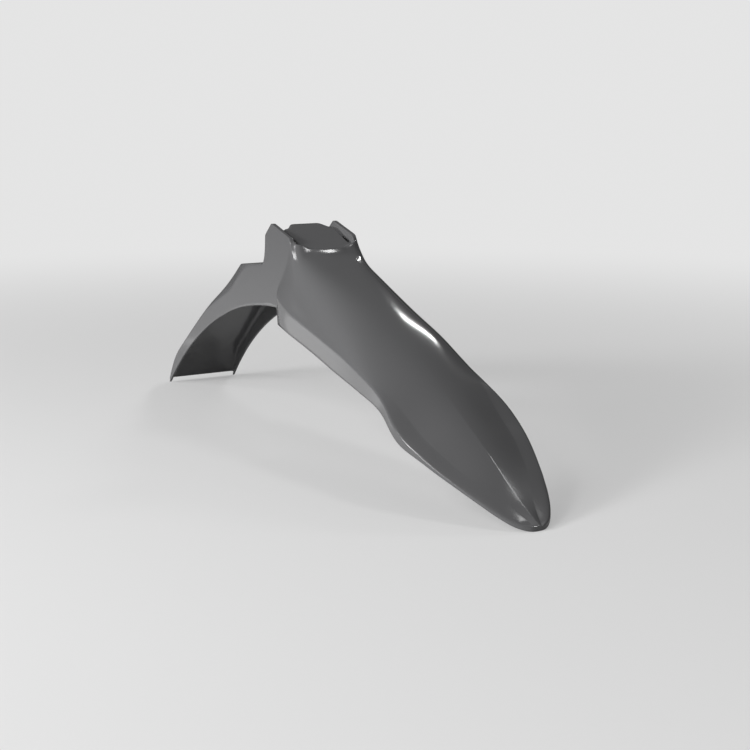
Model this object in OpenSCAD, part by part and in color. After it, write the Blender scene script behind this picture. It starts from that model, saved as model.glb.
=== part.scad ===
// Front mudguard of an off-road motorcycle, moulded in one piece.
// A long hood runs down to a pointed nose, a raised deck between two ears bolts up under the
// fork bridge, and a narrow tail curves down behind the fork. Lengths are in mm.
// Distances named "from the nose" are measured backwards along the bike.

/* [Overall] */
// Length from the nose to the edge of the tail
total_length = 800; // [790:1:812]
// Thickness of the moulded shell
wall = 2.8; // [2.2:0.1:3.2]

/* [Hood] */
// Half width of the flared edge, in front of the elbow
flare_half = 71; // [68:0.5:74]
// Half width of the waist, behind the elbow
waist_half = 64.5; // [62:0.5:66]
// Half width of the hood beside the front rim of the deck
shoulder_half = 56; // [55:0.5:58]
// Half width of the hood where it ends against the side panels
hood_end_half = 48.8; // [48.5:0.1:50]
// Width of the pointed nose in plan, as the parabola: half width squared over distance
nose_plan = 39; // [34:1:44]
// Height of the rolled lip at the nose
lip_height = 4.8; // [4.4:0.1:6]
// Height of the side band at its rear end
band_height = 35; // [31:1:36]
// Extra height of the ridge at mid hood
ridge_bulge = 0; // [-3:0.5:4]

/* [Deck and ears] */
// Distance from the nose to the front rim of the deck
deck_front = 408; // [406:1:410]
// Distance from the nose to the rear edge of the deck tab
deck_rear = 471; // [468:1:473]
// Height of the deck at its front rim
deck_height = 223; // [219:1:226]
// Slope of the deck, rise over run
deck_slope = 0.4; // [0.36:0.01:0.44]
// Half width across the two ears
ear_half = 43.5; // [42:0.5:45]
// Width of the flat top of each ear
ear_width = 5.2; // [4.8:0.1:6]
// Height of the ear peaks
ear_peak = 249.5; // [248:0.5:253]
// Half width of the tab at the rear edge of the deck
tab_half = 19; // [16:0.5:21]
// How far the tab reaches behind the notches beside it
tab_reach = 11; // [7:0.5:13]
// Depth of the gutter at the foot of each ear
gutter_depth = 1.4; // [0.8:0.1:1.8]

/* [Step and tail] */
// Height of the step behind the deck
step_height = 201; // [196:1:204]
// Distance from the nose to the foot of the wall behind the deck
step_front = 487; // [485:1:490]
// Distance from the nose to the rear corner of the step
step_rear = 570; // [566:1:574]
// Radius of the wheel arch cut into the lower edge
arch_radius = 492; // [488:1:496]
// Outward lean of the side panels, sideways over height
side_draft = 0.04; // [0.03:0.005:0.05]

/* [Hidden] */

side_steps = 16;
ear_column = 10;
crease_column = 14;
hood_rows = 32;
blend_rows = 7;
deck_share = [0, 0.16, 0.33, 0.5, 0.75, 1];
deck_rows = len(deck_share) - 1;
tail_rows = 13;

nose_half = 4.8;
elbow_start = 150;
elbow_length = 110;
elbow_end = 213;
nose_cut = 0.72;
hood_cut = 0.985;
nose_softness = 0.45;
keel_share = 0.16;
keel_end = 70;
ledge_width = 1.4;
ledge_rise = 2.4;
nose_ledge_rise = 0.8;
nose_crowding = 1.55;
even_rows = 20;
hood_end = 450;
panel_start = 453;
panel_middle = 470;
panel_rear = 482;
blend_start = 376;
ear_front = 421;
ear_front_height = 228.5;
ear_crown_height = 232.4;
ear_shoulder = 426;
ear_shoulder_height = 236.6;
ear_chamfer_rear = 489;
ear_chamfer_height = 235;
ear_foot = 0.8;
gutter_floor = 6.2;
gutter_edge = 7.5;
notch_half = 27;
rim_sweep = 8;
rim_sweep_half = 41;
rim_width = 2.4;
rim_lift = 0.8;
rim_wrap = 3.4;
arch_centre = 444;
arch_drop = sqrt(arch_radius * arch_radius - pow(total_length - arch_centre, 2));
tail_taper = 3.5;
taper_start = 535;
taper_length = 90;

// Row numbers where one zone ends and the next begins
row_rim = hood_rows + blend_rows;
row_foot = row_rim + 2;
row_deck_rear = row_foot + deck_rows;
row_step_front = row_deck_rear + 2;
row_step_rear = row_step_front + 3;
last_row = row_step_rear + tail_rows;

function clamp01(t) = min(1, max(0, t));
function ease(t) = let (u = clamp01(t)) u * u * (3 - 2 * u);
function mix(a, b, t) = a + (b - a) * t;

// Smooth curve through hand-set stations [distance, value], cubic between neighbours
function station(st, x, i = 0) =
    i >= len(st) - 2 || x < st[i + 1][0] ? i : station(st, x, i + 1);
function chord(st, i) = (st[i + 1][1] - st[i][1]) / (st[i + 1][0] - st[i][0]);
function tangent(st, i) =
    i <= 0 ? chord(st, 0)
    : i >= len(st) - 1 ? chord(st, len(st) - 2)
    : let (a = chord(st, i - 1), b = chord(st, i))
      (a * (st[i + 1][0] - st[i][0]) + b * (st[i][0] - st[i - 1][0])) / (st[i + 1][0] - st[i - 1][0]);
function curve(st, x) =
    let (i = station(st, x), h = st[i + 1][0] - st[i][0], t = (x - st[i][0]) / h,
         a = tangent(st, i) * h, b = tangent(st, i + 1) * h, p = st[i][1], q = st[i + 1][1])
    t < 0 ? p + a * t : t > 1 ? q + b * (t - 1)
    : p + a * t + (3 * (q - p) - 2 * a - b) * t * t + (2 * (p - q) + a + b) * t * t * t;
function slope(st, x) = (curve(st, x + 1) - curve(st, x - 1)) / 2;

// Hood profiles along the bike
ridge = [[0, 5], [49, 32], [85, 55.5], [164, 101.5 + ridge_bulge / 2], [238, 145 + ridge_bulge],
         [308, 177.5 + ridge_bulge], [408, 215], [450, 231]];
edge_square = [for (p = [[0, nose_half], [60, sqrt(60 * nose_plan)], [109, flare_half - 5.2],
                         [131, flare_half - 0.4], [150, flare_half - 0.2], [168, waist_half + 3.1],
                         [190, waist_half + 0.2], [213, waist_half], [240, waist_half + 0.8],
                         [310, mix(waist_half, shoulder_half, 0.3)], [375, shoulder_half + 2],
                         [408, shoulder_half], [430, shoulder_half - 2.7], [451, hood_end_half]])
               [p[0], p[1] * p[1]]];
edge_height = [[0, lip_height], [8, 7.6], [23, 15.4], [40, 24.2], [62, 34.5], [86, 45.9], [109, 58.2],
               [131, 69], [150, 81], [168, 92.5], [190, 103.5], [213, 111.6], [240, 121.5],
               [313, 137.4], [407, 155.6], [451, 167]];
band_depth = [[0, lip_height], [100, 5.3], [121, 8], [143, 11.3], [163, 12], [193, 16.4],
              [222, 20], [266, 24], [330, 24.9], [408, 27.8], [430, band_height - 4.8], [451, band_height]];
valley_half = [[0, 3], [40, 19], [62, 32], [86, 41], [109, 47.5], [149, 52.5], [190, 58.5], [elbow_end, 62]];
fullness = [[0, 2], [170, 2], [240, 2.3], [308, 2.8], [345, 3.6], [376, 4.8], [408, 6]];
tail_top = [[step_rear, 192], [599, 172], [630, 151.5], [669, 128], [713, 96], [751, 66.5],
            [787, 33], [total_length, 8]];

function edge_half(s) = sqrt(max(0, curve(edge_square, s)));
function edge_spread(s) = let (w = max(3, edge_half(s))) slope(edge_square, s) / (2 * w);
function side_half(s, z) =
    ear_half + side_draft * (ear_peak - z) - tail_taper * ease((s - taper_start) / taper_length);
function arch_height(s) = sqrt(arch_radius * arch_radius - pow(s - arch_centre, 2)) - arch_drop;

// Superellipse from 1 on the ridge to 0 at the foot of the dome, and its share for a given rise
function dome_foot(n, cut) = pow(1 - pow(cut, n), 1 / n);
function dome(u, n, cut) =
    let (foot = dome_foot(n, cut))
    (pow(1 - pow(cut * u, n), 1 / n) - foot) / (1 - foot);
function dome_share(rise, n, cut) =
    let (foot = dome_foot(n, cut))
    pow(1 - pow(foot + rise * (1 - foot), n), 1 / n) / cut;

// Frame of a hood section at distance s: foot and top of the dome, then the crease
function crease_half(s, inset) = edge_half(s) - inset / sqrt(1 + pow(edge_spread(s), 2));
function crease_z(s, inset) = curve(edge_height, s) - inset * sqrt(1 + pow(slope(edge_height, s), 2));
function ridge_z(s, inset) = curve(ridge, s) - inset * sqrt(1 + pow(slope(ridge, s), 2));
function rear_share(s) = ease((s - elbow_start) / elbow_length);
function foot_cut(s) = mix(nose_cut, hood_cut, rear_share(s));
function foot_half(s, inset) =
    let (full = edge_half(s), plain = min(s < elbow_end ? curve(valley_half, s) : full, full - ledge_width))
    plain * crease_half(s, inset) / max(full, 1);
function foot_z(s, inset) = crease_z(s, inset) + mix(nose_ledge_rise, ledge_rise, rear_share(s));

// Point of the dome at the share u of its half width, with a faint keel line along the nose
function dome_point(s, u, inset) =
    let (soft = nose_softness * (1 - rear_share(s)),
         keel = keel_share * (1 - ease((s - keel_end) / elbow_length)) * u * pow(1 - u, 3),
         top = mix(dome(u, curve(fullness, s), foot_cut(s)), 0.5 + 0.5 * cos(180 * u), soft) - keel)
    [foot_half(s, inset) * u, mix(foot_z(s, inset), ridge_z(s, inset), top)];

// Column j of a hood section at distance s: 0 on the ridge, 14 on the crease, 16 on the lower edge
function column_share(j) = 1 - pow(1 - min(j, 12) / 12, 1.5);
function hood_point(s, j, inset) =
    let (we = crease_half(s, inset), ze = crease_z(s, inset),
         zb = curve(edge_height, s) - curve(band_depth, s))
    j <= 12 ? dome_point(s, column_share(j), inset)
    : j == 13 ? [(foot_half(s, inset) + we) / 2, (foot_z(s, inset) + ze) / 2 + 0.15]
    : j == 14 ? [we, ze]
    : [we + mix(0.03, -0.04, ease((s - 200) / 200)) * (j - 14) / 2 * (ze - zb), mix(ze, zb, (j - 14) / 2)];

// Deck, ears and everything behind them
function deck_z(s) = deck_height + deck_slope * (s - deck_front);
function rim_bow(y) = rim_sweep * pow(y / rim_sweep_half, 2);
function ear_z(s) =
    mix(ear_shoulder_height, ear_peak, (s - ear_shoulder) / (deck_rear + 1 - ear_shoulder));
function tab_edge(y) =
    y <= tab_half ? deck_rear
    : y <= notch_half ? mix(deck_rear, deck_rear - tab_reach, (y - tab_half) / (notch_half - tab_half))
    : deck_rear - tab_reach;

// Sideways place of the deck columns 0 to 10
function deck_y(j) =
    let (ear_inner = ear_half - ear_width)
    j <= 6 ? (ear_inner - gutter_edge) * [0, 0.22, 0.44, 0.6, 0.74, 0.87, 1][j]
    : j == 7 ? ear_inner - gutter_floor
    : j == 8 ? ear_inner - ear_foot
    : j == 9 ? ear_inner
    : ear_half;
// The same columns drawn in to the narrower top of the step and the tail
function top_half(i) =
    let (p = plain_row(i, 0))
    i <= row_deck_rear + 1 ? ear_half : side_half(p[0], p[1]) - lookup(p[0], chamfer_width);
function rear_y(i, j) = deck_y(j) * top_half(i) / ear_half;

// Rows of the tail: distance from the nose
function tail_s(k) = mix(step_rear, total_length, pow(k / tail_rows, 0.94));

// Rows across the deck: the two rows of the rim, then the flat
function deck_s(i, y) =
    let (front = deck_front + rim_bow(y))
    i <= row_rim + 1 ? front + rim_width * (i - row_rim)
    : mix(front + rim_width + 1.6, tab_edge(y), deck_share[min(i - row_foot, deck_rows)]);

// Centre line of the plain shell, without ears, rim and gutters: [distance, height] of row i
function plain_row(i, y) =
    let (rear = tab_edge(y))
    i <= row_deck_rear ? let (s = deck_s(i, y)) [s, deck_z(s)]
    : i == row_deck_rear + 1 ? [mix(rear, step_front, 0.5), mix(deck_z(rear), step_height, 0.5)]
    : i <= row_step_rear ?
        let (t = (i - row_step_front) / 3)
        [mix(step_front, step_rear, t), mix(step_height, tail_top[0][1], t)]
    : let (s = tail_s(i - row_step_rear)) [s, curve(tail_top, s)];

function unit(v) = v / norm(v);
// Plain row moved square to the line by the given depth, mitred at the corners
function inner_row(i, y, depth) =
    let (p = plain_row(i, y),
         a = unit(i > row_rim ? p - plain_row(i - 1, y) : [0.35, 1]),
         b = i < last_row ? unit(plain_row(i + 1, y) - p) : a,
         m = unit(a + b), c = max(0.55, m * a))
    p + [m[1], -m[0]] * depth / c;

// Chamfer between the top and the side panels, widest where the tail begins
chamfer_height = [[400, 0.8], [549, 0.8], [566, 17], [594, 20], [619, 12], [660, 6], [total_length, 1.5]];
chamfer_width = [[400, 0.8], [549, 0.8], [570, 5.5], [604, 6], [640, 5], [700, 3], [total_length, 1.5]];

// Outer surface behind the rim, column j of row i, as [distance, half width, height]
function rear_point(i, j) =
    let (y = rear_y(i, min(j, 8)),
         s = deck_s(i, y),
         rim_z = deck_z(deck_s(row_rim, y)) + rim_lift + rim_wrap * ease((y - 22) / 18))
    j <= 8 ?
        (i <= row_rim + 1 ? [s, y, rim_z]
        : i <= row_deck_rear ? [s, y, deck_z(s) - (j >= 7 ? gutter_depth : 0)]
        : concat_y(plain_row(i, y), y))
    : j <= ear_column ? ear_point(i, j)
    : side_point(i, j);
function concat_y(p, y) = [p[0], y, p[1]];

function ear_point(i, j) =
    let (rim = i - row_rim, out = j == ear_column, y = rear_y(i, j))
    rim == 0 ? [ear_front - (out ? 0 : 3), ear_half - (out ? 0 : 2.4), ear_front_height - (out ? 0 : 0.5)]
    : rim == 1 ? [ear_front + (out ? 0.8 : 0.4), ear_half - (out ? 0 : ear_width - 1), ear_crown_height]
    : i <= row_deck_rear ?
        let (s = mix(ear_shoulder, deck_rear + 1, (i - row_foot) / deck_rows)) [s, y, ear_z(s)]
    : i == row_deck_rear + 1 ? [ear_chamfer_rear, y, ear_chamfer_height]
    : let (p = plain_row(i, y)) [p[0] + (i == row_step_front ? 0.5 : 0), y, p[1]];

// Front row of the side panel, columns 11 to 16: share of the height fallen and of the way back.
// The rows behind it fan out to even shares at the rear edge of the deck.
front_fall = [0, 0.4, 0.74, 0.81, 0.9, 1];
front_reach = [0, 0.3, 0.97, 0.985, 0.99, 1];

// Side panel from the ear or top edge down to the lower edge
function lower_edge(i) =
    let (s = i == row_rim ? hood_end
             : i <= row_deck_rear ?
                 mix(panel_start, panel_middle, (i - row_rim - 1) / (row_deck_rear - row_rim - 1))
             : i == row_deck_rear + 1 ? panel_rear
             : plain_row(i, 0)[0] + (i == row_step_front ? 3 : 0))
    [s, arch_height(s)];
function side_point(i, j) =
    let (top = ear_point(i, ear_column), low = lower_edge(i),
         drop = i > row_step_front ? lookup(top[0], chamfer_height) : 0.9,
         k = j - ear_column - 1,
         fan = clamp01((i - row_rim - 1) / (row_deck_rear - row_rim - 1)),
         f = mix(front_fall[k], k / 5, fan),
         even_reach = i <= row_deck_rear + 1 ? pow(k / 5, 1.1) : k / 5,
         s = mix(top[0], low[0], mix(front_reach[k], even_reach, fan)),
         z = mix(top[2] - drop, low[1], f))
    i == row_rim && j >= crease_column - 1 ? rim_row_band(j)
    : [s, side_half(s, z), z];
function rim_row_band(j) =
    let (p = hood_point(hood_end, j, 0)) [hood_end, p[0], p[1]];

// Inner surface behind the rim
function rear_inner(i, j) =
    let (y = j < ear_column ? deck_y(j) : ear_half - wall,
         deep = i <= row_deck_rear ? wall + 0.9 : wall,
         q = inner_row(i, min(y, 37), deep),
         tail = i > row_step_front,
         corner_y = tail ? ear_point(i, ear_column)[1] - 0.7 * wall : side_half(q[0], q[1]) - wall)
    j < ear_column ? [q[0], i > row_deck_rear + 1 ? y * corner_y / ear_half : y, q[1]]
    : let (low = j > ear_column ? rear_point(i, side_steps) : [0, 0, 0],
           knee = tail ? min(side_point(i, ear_column + 1)[2] - 0.4 * wall, mix(q[1], low[2], 0.15)) : 0,
           f = (j - ear_column) / 6,
           s = mix(q[0], low[0], pow(f, 1.2)),
           z = tail ? mix(knee, low[2], (f * 6 - 1) / 5) : mix(q[1], low[2], f))
      j == ear_column ? [q[0], corner_y, q[1]]
      : i == row_rim && j >= crease_column ?
          let (p = hood_point(hood_end - 0.3, j, wall)) [hood_end - 0.3, p[0], p[1]]
      : [s, side_half(s, z) - wall, z];

// Blend between the hood and the deck, t from 0 on the hood to 1 on the rim row. Each column slides
// along the hood section to the place where its goal on the rim row stands, and then rises to it.
function blend_front(j) =
    j <= 8 ? blend_start + 0.5 * j
    : j <= ear_column ? blend_start + 6
    : blend_start + 8 + 2 * (j - ear_column);
function rim_goal(j, inset) = inset == 0 ? rear_point(row_rim, j) : rear_inner(row_rim, j);
function goal_share(j, inset) =
    let (goal = rim_goal(j, inset), corner = rim_goal(ear_column, inset),
         s = goal[0], low = foot_z(s, inset),
         rise = min(0.9, (goal[2] - low) / (ridge_z(s, inset) - low)))
    j <= ear_column ? goal[1] / foot_half(s, inset)
    : max(corner[1] / foot_half(corner[0], inset) + 0.012 * (j - ear_column),
          dome_share(rise, curve(fullness, s), foot_cut(s)));
function blend_point(t, j, inset) =
    let (goal = rim_goal(j, inset),
         s = mix(blend_front(j), goal[0], t),
         plain = hood_point(s, j, inset))
    j >= crease_column - (inset == 0 ? 1 : 0) ? [s, plain[0], plain[1]]
    : let (share = goal_share(j, inset),
           on_dome = dome_point(s, mix(column_share(j), share, ease(t)), inset),
           h = mix(plain, on_dome, ease(2 * t)),
           hg = dome_point(goal[0], share, inset),
           corner = ease((j - 6) / 4),
           rise = mix(1 - sqrt(1 - t * t), pow(t, 3), corner),
           push = mix(ease(t), pow(t, 2.2), corner))
      [s, h[0] + (goal[1] - hg[0]) * push, h[1] + (goal[2] - hg[1]) * rise];

function hood_s(i) = blend_start * pow(i / hood_rows, nose_crowding);
function row_s(i, j) =
    mix(hood_s(i), blend_front(j) * i / hood_rows, ease((i - even_rows) / (hood_rows - even_rows)));
function hood_row(i, j, inset) =
    let (s0 = row_s(i, j),
         s = s0 + inset * edge_spread(s0) / sqrt(1 + pow(edge_spread(s0), 2)) * (s0 < 60 ? 1 : 0),
         p = hood_point(s, j, inset))
    [s, p[0], p[1]];

function shell_point(i, j, inset) =
    i < hood_rows ? hood_row(i, j, inset)
    : i < row_rim ? blend_point((i - hood_rows) / blend_rows, j, inset)
    : inset == 0 ? rear_point(i, j)
    : rear_inner(i, j);

// Full rows from the right lower edge over the ridge to the left lower edge
function place(p, side) = [total_length / 2 - p[0], side * p[1], p[2]];
function full_row(i, inset) =
    let (half = [for (j = [0:side_steps]) shell_point(i, j, inset)])
    concat([for (j = [side_steps:-1:1]) place(half[j], -1)], [for (j = [0:side_steps]) place(half[j], 1)]);

columns = 2 * side_steps + 1;
outer = [for (i = [0:last_row]) each full_row(i, 0)];
inner = [for (i = [0:last_row]) each full_row(i, wall)];
shift = len(outer);
function at(i, j) = i * columns + j;

// Through slots in the gutters, between these rows
slot_rows = [row_foot + 1, row_foot + 3];
function in_slot(i, j) =
    i >= slot_rows[0] && i < slot_rows[1] && (j == side_steps + 7 || j == side_steps - 8);

module mudguard_shell() {
    cells = [for (i = [0:last_row - 1], j = [0:columns - 2]) if (!in_slot(i, j)) [i, j]];
    top_faces = [for (c = cells) each [
        [at(c[0], c[1]), at(c[0] + 1, c[1] + 1), at(c[0], c[1] + 1)],
        [at(c[0], c[1]), at(c[0] + 1, c[1]), at(c[0] + 1, c[1] + 1)]]];
    last = columns - 1;
    nose_faces = [for (j = [0:side_steps - 1]) each j == side_steps - 1
        ? [[at(0, j), at(0, j + 1), at(0, last - j)]]
        : [[at(0, j), at(0, j + 1), at(0, last - j)], [at(0, j + 1), at(0, last - j - 1), at(0, last - j)]]];
    skin = concat(top_faces, nose_faces);
    under = [for (f = skin) [f[0] + shift, f[2] + shift, f[1] + shift]];
    rim = concat([for (i = [0:last_row]) at(i, 0)],
                 [for (j = [1:columns - 1]) at(last_row, j)],
                 [for (i = [last_row - 1:-1:0]) at(i, columns - 1)]);
    edge = [for (k = [0:len(rim) - 1]) let (a = rim[k], b = rim[(k + 1) % len(rim)]) each [
        [a, a + shift, b], [b, a + shift, b + shift]]];
    slot_edge = [for (j = [side_steps + 7, side_steps - 8]) let (
        loop = concat([for (i = [slot_rows[0]:slot_rows[1]]) at(i, j)],
                      [for (i = [slot_rows[1]:-1:slot_rows[0]]) at(i, j + 1)]))
        for (k = [0:len(loop) - 1]) let (a = loop[k], b = loop[(k + 1) % len(loop)]) each [
            [b, a + shift, a], [b + shift, a + shift, b]]];
    polyhedron(points = concat(outer, inner), faces = concat(skin, under, edge, slot_edge), convexity = 8);
}

module mudguard() {
    color([0.36, 0.36, 0.37]) mudguard_shell();
}

mudguard();
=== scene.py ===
# %% [markdown]
# # A motorcycle front mudguard
#
# The object is one moulded plastic shell. A long hood climbs from the nose to a flat deck between two
# ears, and a tail curves down behind. Such a form could be sculpted, but its long even curves come out
# cleaner when they are computed. So the shell is a grid of points: rows run across the guard, from the
# nose to the tail, and columns run along it. The grid is a control cage, and a subdivision surface
# rounds it.
#
# Lengths are worked out in millimetres and turned into metres once, when the mesh is made. Distances
# along the guard, called s, are measured back from the nose.

import bpy
import numpy as np
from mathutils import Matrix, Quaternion, Vector


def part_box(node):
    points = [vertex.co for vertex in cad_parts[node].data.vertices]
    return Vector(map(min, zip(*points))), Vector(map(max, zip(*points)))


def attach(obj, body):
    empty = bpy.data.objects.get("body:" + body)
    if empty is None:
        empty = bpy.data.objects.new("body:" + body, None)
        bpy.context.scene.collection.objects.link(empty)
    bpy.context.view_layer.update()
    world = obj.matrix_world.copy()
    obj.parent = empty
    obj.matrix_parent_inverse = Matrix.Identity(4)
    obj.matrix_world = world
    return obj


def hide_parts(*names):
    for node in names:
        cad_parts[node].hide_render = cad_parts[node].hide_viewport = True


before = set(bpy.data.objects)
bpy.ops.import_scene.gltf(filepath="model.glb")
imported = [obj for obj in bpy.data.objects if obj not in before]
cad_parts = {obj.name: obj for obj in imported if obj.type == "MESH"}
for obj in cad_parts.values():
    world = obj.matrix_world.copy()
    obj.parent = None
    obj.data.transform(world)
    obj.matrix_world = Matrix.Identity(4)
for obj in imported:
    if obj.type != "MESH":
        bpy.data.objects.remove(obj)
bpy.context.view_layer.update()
low, high = (np.array(corner) * 1000 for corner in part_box("mudguard"))

# %% [markdown]
# ## Overall sizes
#
# The visual shell has to fill the CAD part's box. Its length, its width and the height of its ears could
# be typed again, but then the two could drift apart, so they are read from the frame. The band below the
# widest point leans out half a millimetre, which comes off the width. The wall's thickness doesn't show
# in the photograph, and 2.8 mm is usual for such a moulding.

# %% Sizes read from the frame
band_lean = 0.5
total_length = high[0] - low[0]
flare_half = high[1] - band_lean
ear_peak = high[2]
wall = 2.8
print("length, half width and height in mm:", total_length.round(1), flare_half.round(1), ear_peak.round(1))

# %% [markdown]
# ## Curves through stations
#
# A guard is drawn as a few smooth lines: a ridge, a crease, an edge. Bezier curves could hold them, but a
# formula can be asked for its value and its slope at every distance at once. So each line is a list of
# stations, given as (distance from the nose, value), with a cubic between neighbours.

# %% Curve functions


def mix(a, b, t):
    """The value a share t of the way from a to b: a plus t times the step from a to b."""
    return a + (b - a) * t


def ease(t):
    """Soft step from 0 to 1: three t squared less two t cubed, with t held between 0 and 1."""
    t = np.clip(t, 0, 1)
    return t * t * (3 - 2 * t)


def curve(stations, s):
    """Cubic between stations; each slope is the mean of the chords beside it, weighted by nearness."""
    x, y = np.array(stations, float).T
    s = np.asarray(s, float)
    gap = np.diff(x)
    chord = np.diff(y) / gap
    inner = (chord[:-1] * gap[1:] + chord[1:] * gap[:-1]) / (gap[1:] + gap[:-1])
    slope = np.concatenate([chord[:1], inner, chord[-1:]])
    k = np.clip(np.searchsorted(x, s, side="right") - 1, 0, len(gap) - 1)
    t = (s - x[k]) / gap[k]
    a, b, rise = slope[k] * gap[k], slope[k + 1] * gap[k], y[k + 1] - y[k]
    inside = y[k] + a * t + (3 * rise - 2 * a - b) * t**2 + (a + b - 2 * rise) * t**3
    return np.where(t > 1, y[k + 1] + b * (t - 1), np.where(t < 0, y[k] + a * t, inside))


def slope_of(stations, s):
    """Slope of the curve: its rise from 1 mm before s to 1 mm behind it, divided by 2."""
    return (curve(stations, s + 1) - curve(stations, s - 1)) / 2


def straight(stations, s):
    """Straight lines between stations, level beyond the first and the last."""
    x, y = np.array(stations, float).T
    return np.interp(s, x, y)


print("soft step at a quarter, a half and three quarters:", ease(np.array([0.25, 0.5, 0.75])))

# %% [markdown]
# ## Lines of the hood
#
# Seen from the side, the ridge climbs over the hood, and the crease, the fold above the side band,
# climbs below it. Seen from above, the crease flares out over the nose, draws in at the elbow and runs on
# to the ear. The lines could be traced as splines, but typed stations let one size be changed by its
# name. The half width is kept as its square: near the tip the width is then the root of the distance,
# and the nose comes out round.

# %% Stations of the hood
nose_half, nose_plan = 4.8, 39
waist_half, shoulder_half, hood_end_half = 64.5, 56, 48.8
lip_height, band_height = 4.8, 35

ridge = [(0, 5), (49, 32), (85, 55.5), (164, 101.5), (238, 145), (308, 177.5), (408, 215), (450, 231)]
half_widths = [
    (0, nose_half), (60, np.sqrt(60 * nose_plan)), (109, flare_half - 5.2), (131, flare_half - 0.4),
    (150, flare_half - 0.2), (168, waist_half + 3.1), (190, waist_half + 0.2), (213, waist_half),
    (240, waist_half + 0.8), (310, mix(waist_half, shoulder_half, 0.3)), (375, shoulder_half + 2),
    (408, shoulder_half), (430, shoulder_half - 2.7), (451, hood_end_half),
]
edge_square = [(s, half**2) for s, half in half_widths]
edge_height = [
    (0, lip_height), (8, 7.6), (23, 15.4), (40, 24.2), (62, 34.5), (86, 45.9), (109, 58.2), (131, 69),
    (150, 81), (168, 92.5), (190, 103.5), (213, 111.6), (240, 121.5), (313, 137.4), (407, 155.6),
    (451, 167),
]
band_depth = [
    (0, lip_height), (100, 5.3), (121, 8), (143, 11.3), (163, 12), (193, 16.4), (222, 20), (266, 24),
    (330, 24.9), (408, 27.8), (430, band_height - 4.8), (451, band_height),
]


def edge_half(s):
    """Half width of the crease: the square root of the smooth curve of its square."""
    return np.sqrt(np.maximum(curve(edge_square, s), 0))


def edge_spread(s):
    """Sideways slope of the crease: the slope of its square over twice its half width, 3 mm at least."""
    return slope_of(edge_square, s) / (2 * np.maximum(edge_half(s), 3))


print("widest point:", round(float(edge_half(np.arange(0.0, 400)).max()), 1), "mm from the middle")

# %% [markdown]
# ## Dome of the hood
#
# Across the nose the real hood is a soft arch, and towards the deck it grows boxier. A circular arc in
# each row can't do both. A superellipse can: its power, the fullness, climbs from 2, an ellipse, to 6,
# nearly a box. The dome is its upper part, cut off at the foot, and on the nose it is mixed with a
# cosine bell, which runs out softly into the flared lip.

# %% The dome's formula
nose_cut, hood_cut = 0.72, 0.985
elbow_start, elbow_length = 150, 110


def dome_foot(n, cut):
    """Height at which the superellipse is cut off: the n-th root of one less cut to the power n."""
    return (1 - cut**n) ** (1 / n)


def dome(u, n, cut):
    """Superellipse at cut times u, stretched to run from 1 on the ridge to 0 at the foot."""
    foot = dome_foot(n, cut)
    return ((1 - (cut * u) ** n) ** (1 / n) - foot) / (1 - foot)


def dome_share(rise, n, cut):
    """The u at which the dome has the given rise: the dome's formula solved for u."""
    foot = dome_foot(n, cut)
    return (1 - (foot + rise * (1 - foot)) ** n) ** (1 / n) / cut


def back_share(s):
    """0 on the flared nose, 1 behind the elbow, with a soft step between."""
    return ease((s - elbow_start) / elbow_length)


def foot_cut(s):
    """How much of the superellipse's half width the dome uses: little on the nose, nearly all behind."""
    return mix(nose_cut, hood_cut, back_share(s))


half_rise = dome(0.5, np.array([2.0, 6.0]), hood_cut)
print("rise at half width, ellipse and box:", half_rise.round(3))

# %% [markdown]
# ## Foot, ledge and side band
#
# Below the dome the real guard has a small ledge, the crease and the side band, which ahead of the elbow
# is the rolled lip. They could be pieces of their own, but the real one is one moulding, so they are more
# columns of the same grid. The inner surface uses the same formulas with an inset: each line is moved
# square to itself by the wall's thickness.

# %% Columns, and lines with an inset
ledge_width, ledge_rise, ledge_start = 1.4, 2.4, 60
elbow_end = 213
valley_half = [(0, 3), (40, 19), (62, 32), (86, 41), (109, 47.5), (149, 52.5), (190, 58.5), (elbow_end, 62)]

# Columns count outwards from the ridge: the dome, the ledge, the crease and the free edge of the band
dome_column, ledge_column, crease_column, edge_column = 12, 13, 14, 16
column_crowding = 1.5
columns = np.arange(edge_column + 1)
column_share = 1 - np.clip(1 - columns / dome_column, 0, 1) ** column_crowding


def crease_half(s, inset):
    """Half width of the crease, less the inset over the root of one plus its slope in plan squared."""
    return edge_half(s) - inset / np.hypot(1, edge_spread(s))


def crease_z(s, inset):
    """Height of the crease, less the inset times the root of one plus its slope squared."""
    return curve(edge_height, s) - inset * np.hypot(1, slope_of(edge_height, s))


def ridge_z(s, inset):
    """Height of the ridge, less the inset times the root of one plus its slope squared."""
    return curve(ridge, s) - inset * np.hypot(1, slope_of(ridge, s))


def foot_half(s, inset):
    """Half width of the dome's foot: the valley on the nose, the crease less a small ledge behind it."""
    half = edge_half(s)
    plain = np.minimum(np.where(s < elbow_end, curve(valley_half, s), half), half - ledge_width)
    return plain * crease_half(s, inset) / np.maximum(half, 1)


def foot_z(s, inset):
    """Height of the dome's foot: the crease plus a rise that grows softly from the tip."""
    return crease_z(s, inset) + ledge_rise * ease(s / ledge_start)


print("share of the dome's half width for each column:", column_share.round(2))

# %% The whole cross section
nose_softness, keel_share, keel_end = 0.45, 0.5, 70
fullness = [(0, 2), (170, 2), (240, 2.3), (308, 2.8), (345, 3.6), (376, 4.8), (408, 6)]
ledge_lift = 0.15
lean_front, lean_rear, lean_start, lean_length = 0.03, -0.04, 200, 200


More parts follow.
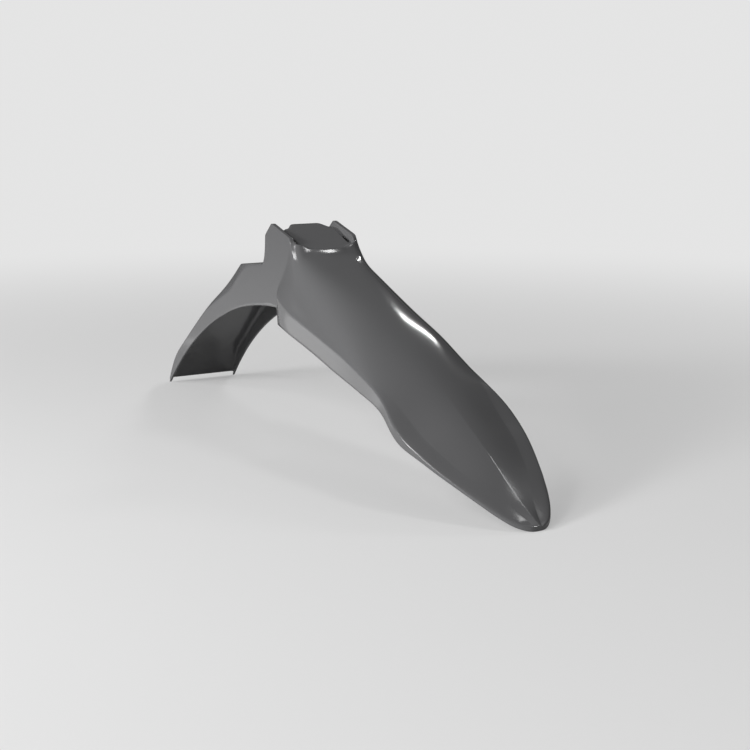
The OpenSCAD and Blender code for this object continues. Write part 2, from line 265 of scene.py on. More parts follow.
def dome_point(s, u, inset):
    """Half width and height at the share u of the dome; beside the keel, u (1 - u) cubed is taken off."""
    soft = nose_softness * (1 - back_share(s))
    keel = keel_share * (1 - ease((s - keel_end) / elbow_length)) * u * (1 - u) ** 3
    arc = mix(dome(u, curve(fullness, s), foot_cut(s)), 0.5 + 0.5 * np.cos(np.pi * u), soft) - keel
    return foot_half(s, inset) * u, mix(foot_z(s, inset), ridge_z(s, inset), arc)


def hood_section(s, inset):
    """Every column's half width and height: the dome, the ledge half way out, and the leaning band."""
    on_dome, dome_height = dome_point(s, column_share + 0 * s, inset)
    crease_y, crease = crease_half(s, inset), crease_z(s, inset)
    bottom = curve(edge_height, s) - curve(band_depth, s)
    down = np.clip((columns - crease_column) / (edge_column - crease_column), 0, 1)
    lean = mix(lean_front, lean_rear, ease((s - lean_start) / lean_length)) * down * (crease - bottom)
    zones = [columns <= dome_column + 0 * s, columns == ledge_column + 0 * s]
    half = np.select(zones, [on_dome, (foot_half(s, inset) + crease_y) / 2], crease_y + lean)
    ledge = (foot_z(s, inset) + crease) / 2 + ledge_lift
    return half, np.select(zones, [dome_height, ledge], mix(crease, bottom, down))


sample = np.stack(hood_section(np.full((1, len(columns)), 250.0), 0))
print("crease at s = 250, half width and height:", sample[:, 0, crease_column].round(1))

# %% [markdown]
# ## Rows of the hood
#
# The nose is small and round, and the rest of the hood is long and calm. Evenly spaced rows would have to
# be many to round the nose, and many rows make long highlights wavy. So the rows lie closer together at
# the nose and even out behind.

# %% The hood's rows
hood_rows, even_rows, nose_crowding, round_nose = 32, 20, 1.55, 60
blend_start, top_fan, ear_delay, side_delay, side_fan = 376, 0.5, 6, 8, 2
foot_column, ear_column = 8, 10


def blend_front():
    """Distance at which each column leaves the plain hood: its start, plus a step for each column out."""
    on_top = blend_start + top_fan * columns
    at_ear = blend_start + ear_delay
    on_side = blend_start + side_delay + side_fan * (columns - ear_column)
    return np.select([columns <= foot_column, columns <= ear_column], [on_top, at_ear], on_side)


def hood_grid(inset):
    """Rows of the hood: its length times the row's share to the crowding power, and even further back."""
    i = np.arange(hood_rows)[:, None]
    even = ease((i - even_rows) / (hood_rows - even_rows))
    s = mix(blend_start * (i / hood_rows) ** nose_crowding, blend_front() * i / hood_rows, even)
    spread = edge_spread(s)
    s = s + inset * spread / np.hypot(1, spread) * (s < round_nose)
    half, height = hood_section(s, inset)
    return np.stack([s, half, height], -1)


print("hood cage, rows by columns:", hood_grid(0).shape[:2])

# %% [markdown]
# ## Deck
#
# The deck is the flat plate that meets the underside of the fork's bridge. It rises backwards, has a thin
# raised rim in front and a gutter along each ear, and ends in a short tab. It could be cut from a box
# with booleans, but those leave long thin faces that shade badly. Here the same rows and columns run on
# over it: each column is one line from the rim over the deck, the step and the tail.

# %% Columns and rows of the deck
ear_half, ear_width, ear_foot = 43.5, 5.2, 0.8
gutter_floor, gutter_edge = 6.2, 7.5
tail_rows = 13

# Half width of columns 0 to 10: the deck, the gutter, the ear's foot and the two edges of its top
ear_inner = ear_half - ear_width
deck_half = np.concatenate([
    (ear_inner - gutter_edge) * np.array([0, 0.22, 0.44, 0.6, 0.74, 0.87, 1]),
    [ear_inner - gutter_floor, ear_inner - ear_foot, ear_inner, ear_half],
])

# Row numbers, counted back from the front of the rim
deck_share = np.array([0, 0.16, 0.33, 0.5, 0.75, 1])
RIM, FOOT = 0, 2
DECK_REAR = FOOT + len(deck_share) - 1
STEP_FRONT = DECK_REAR + 2
STEP_REAR = STEP_FRONT + 3
LAST = STEP_REAR + tail_rows
rows = np.arange(LAST + 1)[:, None]
print("half width of the deck's columns:", deck_half.round(1), "rows:", len(rows))

# %% Lines over the deck, the step and the tail
deck_front, deck_rear, deck_height, deck_slope = 408, 471, 223, 0.4
tab_half, notch_half, tab_reach = 19, 27, 11
rim_width, rim_foot, rim_sweep, rim_sweep_half = 2.4, 1.6, 8, 41
step_front, step_rear, step_height, tail_crowding = 487, 570, 201, 0.94
tail_top = [
    (step_rear, 192), (599, 172), (630, 151.5), (669, 128), (713, 96), (751, 66.5), (787, 33),
    (total_length, 8),
]


def deck_z(s):
    """Height of the sloping deck: its height in front plus its slope times the distance behind that."""
    return deck_height + deck_slope * (s - deck_front)


def plain_line(y):
    """Lines at half widths y: the rim on a parabola, shares of the deck and step, then the tail's curve."""
    front = deck_front + rim_sweep * (y / rim_sweep_half) ** 2
    rear = np.interp(y, [tab_half, notch_half], [deck_rear, deck_rear - tab_reach])
    plate = mix(front + rim_width + rim_foot, rear, deck_share[:, None])
    deck = np.vstack([front, front + rim_width, plate])
    step = np.linspace(0, 1, STEP_REAR - STEP_FRONT + 1)[:, None] + 0 * y
    tail_share = (np.arange(1, tail_rows + 1) / tail_rows) ** tail_crowding
    tail = mix(step_rear, total_length, tail_share)[:, None] + 0 * y
    s = np.vstack([deck, (rear + step_front) / 2, mix(step_front, step_rear, step), tail])
    z = np.vstack([
        deck_z(deck), (deck_z(rear) + step_height) / 2, mix(step_height, tail_top[0][1], step),
        curve(tail_top, tail),
    ])
    return s, z


print("height of the deck in front and at the tab's end:", deck_z(np.array([deck_front, deck_rear])))

# %% [markdown]
# ## Ears, rim and gutters
#
# The ears are the two upright cheeks beside the deck. The real ones are thin walls drawn up from the side
# panels. They could be extruded from the deck's edge, but the grid has their columns already, so those
# columns are lifted, the rim's rows are raised, and the gutter's columns are lowered.

# %% Sizes of the rim, the gutters and the ears
rim_lift, rim_wrap, rim_wrap_start, rim_wrap_width = 0.8, 3.4, 22, 18
gutter_depth = 1.4
ear_front, ear_front_height, ear_crown_height = 421, 228.5, 232.4
ear_shoulder, ear_shoulder_height = 426, 236.6
ear_chamfer_rear, ear_chamfer_height, ear_overhang, heel_lead = 489, 235, 1, 0.5

# Distance, half width and height of the ear's inner and outer edge, on the rim's two rows
ear_point = [
    (ear_front - 3, ear_half - 2.4, ear_front_height - 0.5), (ear_front, ear_half, ear_front_height),
]
ear_crown = [
    (ear_front + 0.4, ear_inner + 1, ear_crown_height), (ear_front + 0.8, ear_half, ear_crown_height),
]
print("front corner of the ear, s, half width and height:", ear_point[1])

# %% The top, from the deck to the tail
side_draft, tail_taper, taper_start, taper_length = 0.04, 3.5, 535, 90
chamfer_width = [(400, 0.8), (549, 0.8), (570, 5.5), (604, 6), (640, 5), (700, 3), (total_length, 1.5)]


def side_half(s, z):
    """Half width of the side panels: wider by the draft for each millimetre down, narrower on the tail."""
    return ear_half + side_draft * (ear_peak - z) - tail_taper * ease((s - taper_start) / taper_length)


def top_rows():
    """Outer surface over columns 0 to 10: the plain line with its rim, gutters and ears put on."""
    s, z = plain_line(deck_half)
    top_half = side_half(s[:, :1], z[:, :1]) - straight(chamfer_width, s[:, :1])
    y = np.where(rows <= DECK_REAR + 1, 1, top_half / ear_half) * deck_half
    z[RIM:FOOT] = deck_z(s[RIM]) + rim_lift + rim_wrap * ease((deck_half - rim_wrap_start) / rim_wrap_width)
    along_deck, gutter = slice(FOOT, DECK_REAR + 1), slice(foot_column - 1, foot_column + 1)
    z[along_deck, gutter] -= gutter_depth
    ear = slice(foot_column + 1, None)
    ear_share = np.linspace(0, 1, len(deck_share))[:, None]
    s[along_deck, ear] = mix(ear_shoulder, deck_rear + ear_overhang, ear_share)
    z[along_deck, ear] = mix(ear_shoulder_height, ear_peak, ear_share)
    s[DECK_REAR + 1, ear], z[DECK_REAR + 1, ear] = ear_chamfer_rear, ear_chamfer_height
    s[STEP_FRONT, ear] += heel_lead
    grid = np.stack([s, y, z], -1)
    grid[RIM, ear], grid[RIM + 1, ear] = ear_point, ear_crown
    return grid


print("highest point of the ears:", round(float(top_rows()[..., 2].max()), 1), "mm")

# %% [markdown]
# ## Side panels and tail
#
# The side panel hangs from the ear down to the wheel arch, and the tail is the same section drawn in and
# led down behind the wheel. The arch could be cut out with a cylinder, but a cut leaves faces with many
# corners. Here the lowest column simply lies on the circle of the arch, and the columns between it and
# the ear are spread like a fan.

# %% Wheel arch and lower edge
hood_end = 450
arch_radius, arch_centre = 492, 444
arch_drop = np.sqrt(arch_radius**2 - (total_length - arch_centre) ** 2)
panel_start, panel_middle, panel_rear, step_lead = 453, 470, 482, 3


def arch_height(s):
    """Circle of the wheel arch: the root of the radius squared less the run squared, less the drop."""
    return np.sqrt(arch_radius**2 - (s - arch_centre) ** 2) - arch_drop


def lower_edge():
    """Distance and height of the side panels' lower edge, which lies on the wheel arch."""
    s, _ = plain_line(np.zeros(1))
    s = s[:, 0]
    s[RIM] = hood_end
    s[RIM + 1 : DECK_REAR + 1] = np.linspace(panel_start, panel_middle, DECK_REAR - RIM)
    s[DECK_REAR + 1] = panel_rear
    s[STEP_FRONT] += step_lead
    return s, arch_height(s)


arch_heights = arch_height(np.array([arch_centre, total_length]))
print("height of the arch at its middle and at the tail's end:", arch_heights.round(1))

# %% The whole surface behind the rim
ear_drop, deck_fan, side_steps = 0.9, 1.1, edge_column - ear_column
chamfer_height = [(400, 0.8), (549, 0.8), (566, 17), (594, 20), (619, 12), (660, 6), (total_length, 1.5)]

# Front row of the side panel, columns 11 to 16: share of the height fallen and of the way back
front_fall = np.array([0, 0.4, 0.74, 0.81, 0.9, 1])
front_reach = np.array([0, 0.3, 0.97, 0.985, 0.99, 1])


def rear_grid():
    """Outer surface behind the rim, all columns; the side columns are mixed from the ear to the arch."""
    top = top_rows()
    low_s, low_z = lower_edge()
    start = top[:, ear_column]
    tail = rows[:, 0] > STEP_FRONT
    drop = np.where(tail, straight(chamfer_height, start[:, 0]), ear_drop)
    even = np.linspace(0, 1, side_steps)
    fan = np.clip((rows - 1) / (DECK_REAR - 1), 0, 1)
    reach = mix(front_reach, np.where(rows <= DECK_REAR + 1, even**deck_fan, even), fan)
    s = mix(start[:, :1], low_s[:, None], reach)
    z = mix((start[:, 2] - drop)[:, None], low_z[:, None], mix(front_fall, even, fan))
    side = np.stack([s, side_half(s, z), z], -1)
    half, height = hood_section(np.full((1, len(columns)), float(hood_end)), 0)
    band = np.stack([0 * half + hood_end, half, height], -1)[0]
    side[RIM, ledge_column - ear_column - 1 :] = band[ledge_column:]
    return np.concatenate([top, side], 1)


rear = rear_grid()
print("rear cage, rows by columns:", rear.shape[:2])

# %% [markdown]
# ## Inner surface
#
# A moulding has an even wall. A Solidify modifier could give it, but at the ears and the deck's edge it
# would push points through each other. So the inner cage is worked out too: each line across the top is
# moved inwards square to itself, and each side is moved in by the wall.

# %% Lines moved inwards
arrival, mitre_limit = np.array([0.35, 1]), 0.55


def inward_line(y, depth):
    """The plain line moved square to itself by depth, mitred where it turns."""
    points = np.stack(plain_line(y), -1)
    steps = np.diff(points, axis=0)
    steps /= np.linalg.norm(steps, axis=-1, keepdims=True)
    first = arrival / np.hypot(*arrival) + 0 * steps[:1]
    before, after = np.concatenate([first, steps]), np.concatenate([steps, steps[-1:]])
    mid = before + after
    mid /= np.linalg.norm(mid, axis=-1, keepdims=True)
    stretch = np.maximum((mid * before).sum(-1, keepdims=True), mitre_limit)
    return points + np.stack([mid[..., 1], -mid[..., 0]], -1) * depth / stretch


under_ridge = inward_line(np.zeros(1), wall)
print("middle of the deck's front, underneath, s and height:", under_ridge[FOOT, 0].round(1))

# %% The inner cage
deck_extra, plain_reach = 0.9, 37
corner_inset, knee_drop, knee_share, side_crowding, band_lead = 0.7, 0.4, 0.15, 1.2, 0.3


def rear_inside(outer):
    """Inner surface behind the rim: the inward lines on top, and sides mixed from corner to lower edge."""
    depth = np.where(rows <= DECK_REAR, wall + deck_extra, wall)[..., None]
    line = inward_line(np.minimum(np.append(deck_half[:ear_column], ear_half - wall), plain_reach), depth)
    tail = rows[:, 0] > STEP_FRONT
    corner = line[:, ear_column]
    in_front = side_half(corner[:, 0], corner[:, 1]) - wall
    corner_half = np.where(tail, outer[:, ear_column, 1] - corner_inset * wall, in_front)
    half = np.where(rows <= DECK_REAR + 1, 1, corner_half[:, None] / ear_half) * deck_half[:ear_column]
    top = np.stack([line[:, :ear_column, 0], half, line[:, :ear_column, 1]], -1)
    low_point = outer[:, edge_column]
    share = np.linspace(0, 1, side_steps + 1)
    below_chamfer = outer[:, ear_column + 1, 2] - knee_drop * wall
    knee = np.minimum(below_chamfer, mix(corner[:, 1], low_point[:, 2], knee_share))
    s = mix(corner[:, :1], low_point[:, :1], share**side_crowding)
    z = mix(corner[:, 1:], low_point[:, 2:], share)
    z_tail = mix(knee[:, None], low_point[:, 2:], (share * side_steps - 1) / (side_steps - 1))
    z = np.where(tail[:, None], z_tail, z)
    side = np.stack([s, side_half(s, z) - wall, z], -1)
    side[:, 0] = np.stack([corner[:, 0], corner_half, corner[:, 1]], -1)
    band_s = hood_end - band_lead
    half, height = hood_section(np.full((1, len(columns)), band_s), wall)
    band = np.stack([0 * half + band_s, half, height], -1)[0]
    side[RIM, crease_column - ear_column :] = band[crease_column:]
    return np.concatenate([top, side], 1)


inside = rear_inside(rear)
print("inner rear cage, rows by columns:", inside.shape[:2])

# %% [markdown]
# ## From the hood to the deck
#
# This is the hardest place of the real form: a dome has to become a flat plate between two upright ears.
# Straight lofting between the two would leave a dent beside each ear. So each column slides along the
# dome to the place where its goal on the rim row stands, and only then rises to it, slowly at first and
# steeply at the end. The share t runs from 0 on the hood to 1 on the rim.

# %% The rows between hood and deck
blend_rows, side_step, steepest = 7, 0.012, 2.2
corner_start, corner_width, highest_rise = 6, 4, 0.9


def goal_share(goal, inset):
    """Place of each column on the dome under the goal: its half width over the foot's, or by its height."""
    s, half, z = goal.T
    foot = foot_z(s, inset)
    share = half / foot_half(s, inset)
    rise = np.clip((z - foot) / (ridge_z(s, inset) - foot), 0, highest_rise)
    by_height = dome_share(rise, curve(fullness, s), foot_cut(s))
    by_column = share[ear_column] + side_step * (columns - ear_column)
    return np.where(columns <= ear_column, share, np.clip(np.maximum(by_column, by_height), 0, 1))


def blend_grid(goal, inset, plain_from):
    """Rows up to the rim row called goal: the dome plus a growing part of what is missing to the goal."""
    t = (np.arange(blend_rows) / blend_rows)[:, None]
    s = mix(blend_front(), goal[:, 0], t)
    share = goal_share(goal, inset)
    plain = np.stack(hood_section(s, inset), -1)
    on_dome = np.stack(dome_point(s, mix(column_share, share, ease(t)), inset), -1)
    missing = goal[:, 1:] - np.stack(dome_point(goal[:, 0], share, inset), -1)
    corner = ease((columns - corner_start) / corner_width)
    rise = mix(1 - np.sqrt(1 - t * t), t**3, corner)
    push = mix(ease(t), t**steepest, corner)
    moved = mix(plain, on_dome, ease(2 * t)[..., None]) + missing * np.stack([push, rise], -1)
    return np.concatenate([s[..., None], np.where((columns < plain_from)[:, None], moved, plain)], -1)


outer_half = np.concatenate([hood_grid(0), blend_grid(rear[0], 0, ledge_column), rear])
inner_half = np.concatenate([hood_grid(wall), blend_grid(inside[0], wall, crease_column), inside])
print("half cages, rows by columns:", outer_half.shape[:2], inner_half.shape[:2])

# %% [markdown]
# ## Closed shell
#
# The guard is the same on both sides. A Mirror modifier could double the half, but here the half cages
# are mirrored as arrays, which keeps the point numbers in one grid and makes it easy to name an edge
# later. Four surfaces then close the shell: the outer grid, the inner grid turned round, a strip along
# the free edge and a strip round each of the two slots at the feet of the ears.

# %% Grids of both sides
row_count, half_count = outer_half.shape[:2]
column_count, middle = 2 * half_count - 1, half_count - 1


def both_sides(half):
    """Right side, ridge and left side: x is half the length less s, and y is turned round on the right."""
    grid = np.stack([total_length / 2 - half[..., 0], half[..., 1], half[..., 2]], -1)
    return np.concatenate([grid[:, :0:-1] * (1, -1, 1), grid], 1)


def grid_quads(ids):
    """One quad for each cell of a grid of point numbers, from its four corners."""
    return np.stack([ids[:-1, :-1], ids[1:, :-1], ids[1:, 1:], ids[:-1, 1:]], -1)


def strip(loop):
    """Quads from a loop of outer points to the inner points below them."""
    after = np.roll(loop, -1)
    return np.stack([loop, loop + shift, after + shift, after], -1)


outer, inner = both_sides(outer_half), both_sides(inner_half)
points = np.concatenate([outer.reshape(-1, 3), inner.reshape(-1, 3)]) * 0.001
index = np.arange(outer[..., 0].size).reshape(row_count, column_count)
shift = index.size
print("points of the two grids:", len(points))

# %% Faces and mesh
rim_row = hood_rows + blend_rows
foot_row = rim_row + FOOT
slot_rows = (foot_row + 1, foot_row + 3)
slot_columns = (middle + foot_column - 1, middle - foot_column)

cells = grid_quads(index)
solid = np.ones(cells.shape[:2], bool)
solid[slot_rows[0] : slot_rows[1], slot_columns] = False
skin = cells[solid]
left, right = index[0, :middle], index[0, :middle:-1]
nose = np.stack([left[:-1], left[1:], right[1:], right[:-1]], -1)
nose_tip = np.array([[left[-1], index[0, middle], right[-1]]])

free_edge = np.concatenate([index[:, 0], index[-1, 1:], index[-2::-1, -1]])
slot_span = index[slot_rows[0] : slot_rows[1] + 1]
slot_loops = [np.concatenate([slot_span[:, c], slot_span[::-1, c + 1]]) for c in slot_columns]
inner_faces = [part[:, ::-1] + shift for part in (skin, nose)]
strips = [strip(free_edge)] + [strip(loop[::-1]) for loop in slot_loops]
quads = np.concatenate([skin, nose] + inner_faces + strips)
triangles = np.concatenate([nose_tip, nose_tip[:, ::-1] + shift])

mesh = bpy.data.meshes.new("mudguard_shell")
mesh.from_pydata(points.tolist(), [], quads.tolist() + triangles.tolist())
mesh.update()
print("cage:", len(points), "points,", len(quads), "quads")

# %% [markdown]
# ## Crisp edges
#
# The real moulding has soft faces and some crisp edges: the crease, the keel, the rim, the ears and the
# step. A Bevel modifier could round each edge by a width, but it can't fade out along the hood. Creases
# can: a subdivision surface stays the closer to an edge, the higher the crease is.

# %% Lines of edges


def along(line):
    """Edges between the neighbours of a line of points."""
    return np.stack([line[:-1], line[1:]], -1)


def mirrored(column, first, last):
    """Edges of a column on both sides, between two rows."""
    return np.concatenate([along(index[first : last + 1, middle + side * column]) for side in (-1, 1)])


def across(row, first, last):
    """Edges of a row on both sides, between two columns."""
    right_side = index[row, middle - last : middle - first + 1]
    left_side = index[row, middle + first : middle + last + 1]
    return np.concatenate([along(right_side), along(left_side)])


print("edges along the ridge:", len(along(index[:, middle])))

# %% Edges to crease
lip_row, elbow_row, keel_rows = 9, 22, slice(2, 24)
deck_rear_row, step_front_row = rim_row + DECK_REAR, rim_row + STEP_FRONT
step_rear_row, last_row = rim_row + STEP_REAR, rim_row + LAST

# The deck's edge at the gutter, the ear's inner edge and the top of the side panel
deck_column, inner_column, panel_column = 6, foot_column + 1, ear_column + 1

loop_edges = [along(np.append(loop, loop[0])) for loop in [free_edge] + slot_loops]
creases = [
    # The free edge and the slots, outside and inside
    (0.45, np.concatenate(loop_edges + [edges + shift for edges in loop_edges])),
    # The crease above the lip and above the band, and the keel
    (0.40, mirrored(crease_column, lip_row, elbow_row)),
    (0.55, mirrored(crease_column, elbow_row, rim_row)),
    (0.52, along(index[keel_rows, middle])),
    # The rim, the band's rear end and the gutters
    (0.45, across(rim_row, 0, inner_column)),
    (0.55, across(rim_row + 1, 0, inner_column)),
    (0.35, across(rim_row, panel_column, crease_column)),
    (0.45, across(foot_row, 0, foot_column)),
    (0.45, mirrored(deck_column, foot_row, deck_rear_row)),
    # The ears and the long edges of the tail
    (0.60, mirrored(foot_column, rim_row + 1, step_front_row)),
    (0.60, mirrored(inner_column, rim_row + 1, step_front_row)),
    (0.60, mirrored(ear_column, rim_row + 1, last_row)),
    (0.60, mirrored(panel_column, step_front_row, last_row)),
    (0.60, across(foot_row, inner_column, panel_column)),
    # The deck's rear edge and the step
    (0.80, across(deck_rear_row, 0, panel_column)),
    (0.80, across(deck_rear_row + 1, inner_column, panel_column)),
    (0.80, across(step_front_row, 0, panel_column)),
    (0.60, across(step_rear_row, 0, panel_column)),
]
print("lines of creased edges:", len(creases))

# %% Writing the creases
pairs = np.empty(len(mesh.edges) * 2, np.int64)
mesh.edges.foreach_get("vertices", pairs)
pairs = np.sort(pairs.reshape(-1, 2), 1)
keys = pairs[:, 0] * len(points) + pairs[:, 1]
edge_sharpness = np.zeros(len(keys))
for value, edges in creases:
    edges = np.sort(edges, 1)
    chosen = np.isin(keys, edges[:, 0] * len(points) + edges[:, 1])
    edge_sharpness[chosen] = value
crease = mesh.attributes.new("crease_edge", "FLOAT", "EDGE")
crease.data.foreach_set("value", edge_sharpness)

# Corners that stay sharp: the band's rear end, the top of the arch and the tips of the tail
corner_sharpness = 0.8
corners = np.concatenate([index[[rim_row, rim_row + 1, last_row], side] for side in (0, -1)])
point_sharpness = np.zeros(len(points))
point_sharpness[np.concatenate([corners, corners + shift])] = corner_sharpness
corner_layer = mesh.attributes.new("crease_vert", "FLOAT", "POINT")
corner_layer.data.foreach_set("value", point_sharpness)
print("creased edges:", int((edge_sharpness > 0).sum()), "and corners:", len(corners))

# %% [markdown]
# ## Smooth surface
#
# The real surface has no facets. The cage could be made finer until none showed, but a Subdivision
# Surface modifier with two levels does that and keeps the cage small. The shell then takes its place in
# the frame: it rides on the one body and stands for the CAD part.

# %% The shell in the frame
mesh.polygons.foreach_set("use_smooth", np.ones(len(mesh.polygons), bool))
shell = bpy.data.objects.new("mudguard_shell", mesh)
bpy.context.scene.collection.objects.link(shell)
rounding = shell.modifiers.new("rounding", "SUBSURF")
rounding.levels = rounding.render_levels = 2
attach(shell, "root")
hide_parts("mudguard")
print("subdivision levels:", rounding.levels)

# %% [markdown]
# ## Plastic
#
# The real guard is grey plastic from a polished mould. A noise in the colour could stand for wear, but
# the photograph shows none, so the colour is plain. The gloss is fairly sharp, and a very faint ripple
# in it keeps the long highlights from looking ruled.

# %% Plastic shader
plastic_grey, plastic_roughness, plastic_ior = (0.125, 0.125, 0.128, 1), 0.13, 1.5
ripple_scale, ripple_detail, ripple_strength, ripple_height = 60, 2, 0.02, 0.001


def plastic():
    """Principled shader whose normals are tipped a little by a noise on Object coordinates."""
    material = bpy.data.materials.new("grey_gloss_plastic")
    material.use_nodes = True
    nodes, links = material.node_tree.nodes, material.node_tree.links
    shader = nodes["Principled BSDF"]
    shader.inputs["Base Color"].default_value = plastic_grey
    shader.inputs["Roughness"].default_value = plastic_roughness
    shader.inputs["IOR"].default_value = plastic_ior
    place = nodes.new("ShaderNodeTexCoord")
    noise = nodes.new("ShaderNodeTexNoise")
    noise.inputs["Scale"].default_value = ripple_scale
    noise.inputs["Detail"].default_value = ripple_detail
    bump = nodes.new("ShaderNodeBump")
    bump.inputs["Strength"].default_value = ripple_strength
    bump.inputs["Distance"].default_value = ripple_height
    links.new(place.outputs["Object"], noise.inputs["Vector"])
    links.new(noise.outputs["Fac"], bump.inputs["Height"])
    links.new(bump.outputs["Normal"], shader.inputs["Normal"])
    return material


mesh.materials.append(plastic())
print("materials:", [material.name for material in mesh.materials])

# %% [markdown]
# ## Floor
#
# A studio lays pale paper under the object and curves it up behind, so that no horizon shows. A curved
# sheet could be modelled, but here the floor is flat and its paint turns into the backdrop's brightness
# far off. Rays that light other things find the floor darker than the camera does, so it throws little
# light up into the guard, and the underside stays in shade.

# %% Floor sheet
floor_reach = 40
floor_mesh = bpy.data.meshes.new("floor")
floor_corners = [(floor_reach * x, floor_reach * y, 0) for x, y in ((-1, -1), (1, -1), (1, 1), (-1, 1))]
floor_mesh.from_pydata(floor_corners, [], [(0, 1, 2, 3)])
floor = bpy.data.objects.new("floor", floor_mesh)
bpy.context.scene.collection.objects.link(floor)
print("floor:", 2 * floor_reach, "m wide")

# %% Floor's shade for each kind of ray
floor_shade, bounce_shade = 0.75, 0.25


def shade_by_ray(nodes, links, path):
    """Colour socket with floor_shade for camera and glossy rays and bounce_shade for all others."""
    seen = nodes.new("ShaderNodeMath")
    seen.operation = "MAXIMUM"
    shade = nodes.new("ShaderNodeMapRange")
    shade.inputs["To Min"].default_value = bounce_shade
    shade.inputs["To Max"].default_value = floor_shade
    links.new(path.outputs["Is Camera Ray"], seen.inputs[0])
    links.new(path.outputs["Is Glossy Ray"], seen.inputs[1])
    links.new(seen.outputs["Value"], shade.inputs["Value"])
    return shade.outputs["Result"]


print("floor's shade as seen and as it lights other things:", floor_shade, bounce_shade)

# %% Fade into the backdrop
fade_start, fade_end, nearest_share = 0.2, 2.2, 0.4


def backdrop_share(nodes, links, path):
    """Share of the backdrop: a soft step over the distance from the origin, for camera rays only."""
    place = nodes.new("ShaderNodeTexCoord")
    reach = nodes.new("ShaderNodeVectorMath")
    reach.operation = "LENGTH"
    fade = nodes.new("ShaderNodeMapRange")
    fade.interpolation_type = "SMOOTHSTEP"
    fade.inputs["From Min"].default_value = fade_start
    fade.inputs["From Max"].default_value = fade_end
    fade.inputs["To Min"].default_value = nearest_share
    share = nodes.new("ShaderNodeMath")
    share.operation = "MULTIPLY"
    links.new(place.outputs["Object"], reach.inputs[0])
    links.new(reach.outputs["Value"], fade.inputs["Value"])
    links.new(fade.outputs["Result"], share.inputs[0])
    links.new(path.outputs["Is Camera Ray"], share.inputs[1])
    return share.outputs["Value"]


print("the floor fades from", fade_start, "m to", fade_end, "m from the origin")

# %% Floor paint
backdrop_level, floor_roughness = 0.78, 0.8


def pale_paint():
    """Matt paint, mixed with a glow of the backdrop's level by the backdrop's share."""
    material = bpy.data.materials.new("pale_floor")
    material.use_nodes = True
    nodes, links = material.node_tree.nodes, material.node_tree.links
    path = nodes.new("ShaderNodeLightPath")
    shader = nodes["Principled BSDF"]
    shader.inputs["Roughness"].default_value = floor_roughness
    links.new(shade_by_ray(nodes, links, path), shader.inputs["Base Color"])
    glow = nodes.new("ShaderNodeEmission")
    glow.inputs["Strength"].default_value = backdrop_level
    blend = nodes.new("ShaderNodeMixShader")
    links.new(backdrop_share(nodes, links, path), blend.inputs["Fac"])
    links.new(shader.outputs["BSDF"], blend.inputs[1])
    links.new(glow.outputs["Emission"], blend.inputs[2])
    links.new(blend.outputs["Shader"], nodes["Material Output"].inputs["Surface"])
    return material


floor_mesh.materials.append(pale_paint())
print("floor paint:", floor_mesh.materials[0].name)

# %% [markdown]
# ## Backdrop
#
# The world answers every ray that meets nothing. One pale grey for all rays would do for the picture,
# but mirrored in the gloss it would lie over the plastic as a veil. So the camera sees a pale level, and
# the gloss mirrors a dark one.

# %% World shader
mirror_level, sky_level = 0.06, 0.06
world = bpy.data.worlds.new("studio")
world.use_nodes = True
sky_nodes, sky_links = world.node_tree.nodes, world.node_tree.links
path = sky_nodes.new("ShaderNodeLightPath")


def seen_by(ray, value, otherwise):
    """Socket with value for rays of one kind, and otherwise, a number or a socket, for the rest."""
    blend = sky_nodes.new("ShaderNodeMix")
    sky_links.new(path.outputs[ray], blend.inputs["Factor"])
    blend.inputs["B"].default_value = value
    if isinstance(otherwise, float):
        blend.inputs["A"].default_value = otherwise
    else:
        sky_links.new(otherwise, blend.inputs["A"])
    return blend.outputs["Result"]


level = seen_by("Is Camera Ray", backdrop_level, seen_by("Is Glossy Ray", mirror_level, sky_level))
sky_nodes["Background"].inputs["Color"].default_value = (1, 1, 1, 1)
sky_links.new(level, sky_nodes["Background"].inputs["Strength"])
bpy.context.scene.world = world
print("world:", world.name)

# %% [markdown]
# ## Lamps
#
# In the photograph a broad soft light comes from the near side, and the sharp highlights come from small
# lamps. One big lamp could do both, but its whole outline would lie mirrored on the hood. So the broad
# lamps are kept out of reflections, and each small lamp stands where its highlight needs it: the streak
# on the far shoulder, the rim of the deck, the corners under the ears, the lip, the band and the keel.

# %% Lamps and their places
shell_middle = (0, 0, 0.12)


def area_lamp(name, direction, distance, size, power, target=shell_middle, roll=0.0):
    """Rectangular lamp at target plus distance times direction, turned to face the target."""
    light = bpy.data.lights.new(name, "AREA")
    light.shape = "RECTANGLE"
    light.size, light.size_y = size
    light.energy = power
    lamp = bpy.data.objects.new(name, light)
    away = Vector(direction).normalized()
    lamp.location = Vector(target) + away * distance
    lamp.rotation_euler = ((-away).to_track_quat("-Z", "Y") @ Quaternion((0, 0, 1), roll)).to_euler()
    bpy.context.scene.collection.objects.link(lamp)
    return lamp


near_side = area_lamp("near side", (0.3, -0.9, 0.38), distance=2.6, size=(2.4, 1.6), power=39)
overhead = area_lamp("overhead", (0.1, 0.05, 1.0), distance=2.6, size=(1.6, 1.6), power=2)
near_side.visible_glossy = overhead.visible_glossy = False

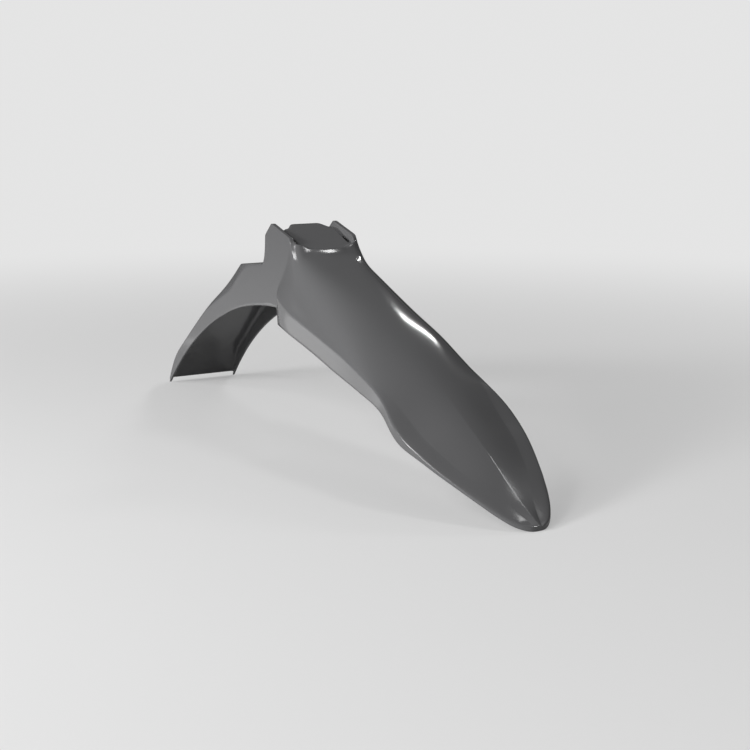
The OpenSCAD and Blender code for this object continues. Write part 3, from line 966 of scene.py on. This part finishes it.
streak_place, corner_place, lip_place = (0.15, 0.025, 0.15), (0.05, -0.05, 0.15), (0.25, -0.05, 0.05)
area_lamp("streak", (-0.455, 0.66, 0.6), 3.0, size=(0.62, 0.06), power=9, target=streak_place, roll=0.9)
area_lamp("rim", (0.34, 0.42, 0.84), 3.0, size=(0.7, 0.25), power=11)
area_lamp("corners", (-0.03, -0.72, 0.69), 2.4, size=(0.5, 0.45), power=9, target=corner_place)
area_lamp("lip", (-0.1, -0.9, 0.33), 2.4, size=(0.9, 0.25), power=38, target=lip_place)

# The last two stand close by. The card lies on the floor, faces up and is mirrored in the side band.
above_card, keel_place = (-0.42, -0.35, 1.0), (0.376, 0, 0.022)
low_card = area_lamp("low card", (0, 0, -1), 0.995, size=(0.7, 0.3), power=0.5, target=above_card)
keel_lamp = area_lamp("keel", (-0.11, 0.57, 0.81), 0.6, size=(0.1, 0.03), power=0.07, target=keel_place)
low_card.visible_camera = keel_lamp.visible_camera = False
print("lamps:", [light.name for light in bpy.data.lights])

# %% [markdown]
# ## Camera
#
# The photograph was taken from in front of the nose and 30 degrees to the right of the guard's long axis,
# looking slightly down. The view could be set by eye, but then the outlines would never quite meet. So
# the tilt comes from the horizon's row in the frame, and the place from fitting the guard's outline.

# %% Camera from the frame's numbers
frame_side, focal_pixels, horizon_row, sensor_width = 750, 1320, 104, 36
view_turn = np.radians(30)
view_tilt = np.arctan((frame_side / 2 - horizon_row) / focal_pixels)
level_reach = np.cos(view_tilt)
look = Vector((-np.cos(view_turn) * level_reach, np.sin(view_turn) * level_reach, -np.sin(view_tilt)))

camera_place = (1.3337, -0.7143, 0.3868)
camera_data = bpy.data.cameras.new("camera")
camera_data.lens = sensor_width * focal_pixels / frame_side
camera_data.sensor_width = sensor_width
camera_data.clip_end = 100
camera = bpy.data.objects.new("camera", camera_data)
camera.location = camera_place
camera.rotation_euler = look.to_track_quat("-Z", "Y").to_euler()
bpy.context.scene.collection.objects.link(camera)
bpy.context.scene.camera = camera
bpy.context.scene.view_settings.view_transform = "Standard"
print("camera looks down", round(float(np.degrees(view_tilt)), 1), "degrees, lens", camera_data.lens)
